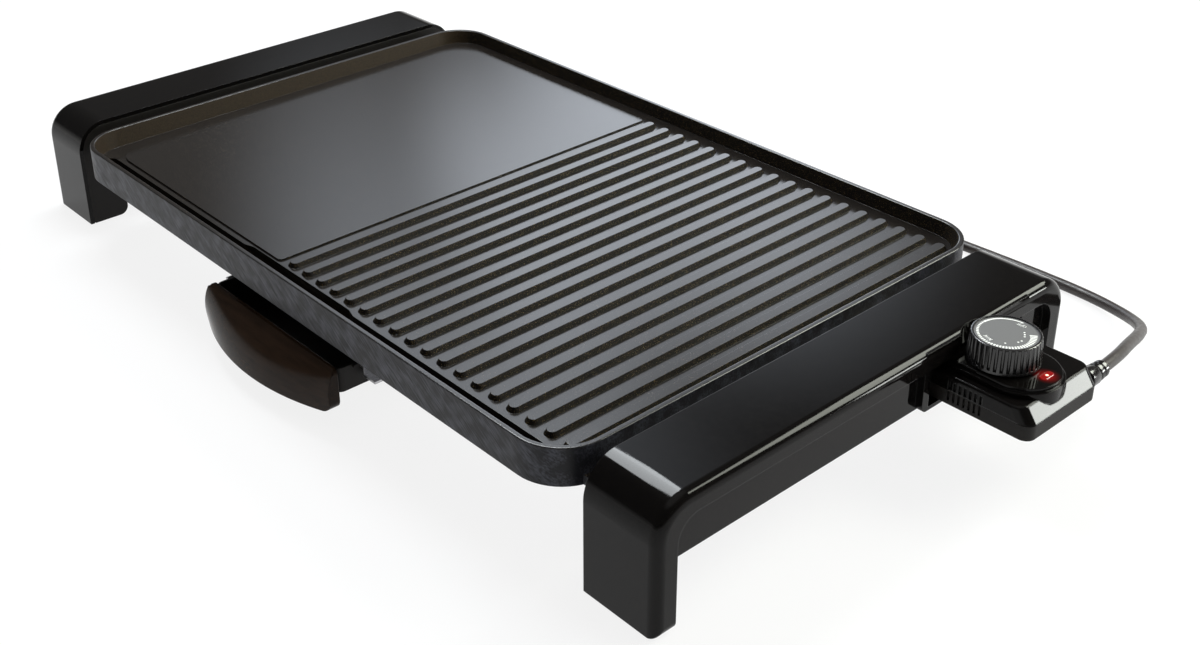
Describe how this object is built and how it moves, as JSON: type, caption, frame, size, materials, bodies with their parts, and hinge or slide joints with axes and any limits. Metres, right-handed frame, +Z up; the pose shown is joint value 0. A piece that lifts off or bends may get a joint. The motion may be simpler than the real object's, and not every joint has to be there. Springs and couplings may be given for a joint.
{
  "type": "electric griddle",
  "caption": "Rectangular electric griddle with a half smooth, half ribbed cooking plate, moulded end legs, a slide-out drip tray and a plug-in thermostat with its cord.",
  "frame": {"origin": "on the table, under the middle of the cooking plate and midway between the feet", "axes": "+X along the plate towards the thermostat end, +Y towards the back, away from the drip tray's handle, +Z up"},
  "size_m": [0.6525, 0.4442, 0.0775],
  "materials": {
    "nonstick": "cast, with a dark satin non-stick coating",
    "black_gloss": "glossy",
    "black_matte": "fine matte",
    "knob_black": "satin",
    "dial_grey": "printed grey",
    "lens_red": "clear red",
    "lamp_glass": "clear",
    "steel": "bright",
    "sheath": "dull oxidised",
    "aluminium": "plain sheet",
    "brass": "plain",
    "ceramic": "unglazed ceramic",
    "rubber": "soft",
    "cord_rubber": "satin"
  },
  "bodies": {
    "griddle": {"griddle_plate": "nonstick", "heating_element": "sheath", "terminal_block": "ceramic", "terminal_pins": "steel", "probe_guide": "steel", "element_supports": "ceramic", "reflector_pan": "aluminium", "pan_screws": "steel", "left_leg_shell": "black_gloss", "right_leg_shell": "black_gloss", "left_leg_cover": "black_matte", "right_leg_cover": "black_matte", "leg_screws": "steel", "foot_pads": "rubber", "tray_rail_left": "steel", "tray_rail_right": "steel", "rail_rivets": "steel"},
    "tray": {"drip_tray": "black_matte", "tray_handle": "black_gloss", "handle_screws": "steel"},
    "thermostat": {"thermostat_base": "black_matte", "thermostat_cover": "black_gloss", "thermostat_deck": "black_gloss", "housing_screws": "steel", "indicator_lens": "lens_red", "indicator_lamp": "lamp_glass", "contact_carrier": "ceramic", "contact_sleeves": "brass", "probe_rod": "steel", "switch_block": "ceramic", "strain_relief": "cord_rubber", "cord_lead": "cord_rubber", "cord_coil": "cord_rubber", "cord_tail": "cord_rubber", "mains_plug": "cord_rubber", "plug_pins": "steel"},
    "knob": {"knob": "knob_black", "dial_disc": "dial_grey", "knob_shaft": "steel"}
  },
  "joints": [
    {"name": "tray_slide", "type": "slide", "parent": "griddle", "child": "tray", "axis": [0, -1, 0], "range_m": [0, 0.115]},
    {"name": "thermostat_pull", "type": "slide", "parent": "griddle", "child": "thermostat", "axis": [1, 0, 0], "range_m": [0, 0.13]},
    {"name": "knob_turn", "type": "hinge", "parent": "thermostat", "child": "knob", "pos_m": [0.3175, 0.0715, 0.07], "axis": [0, 0, 1], "range_deg": [-270, 0]}
  ]
}
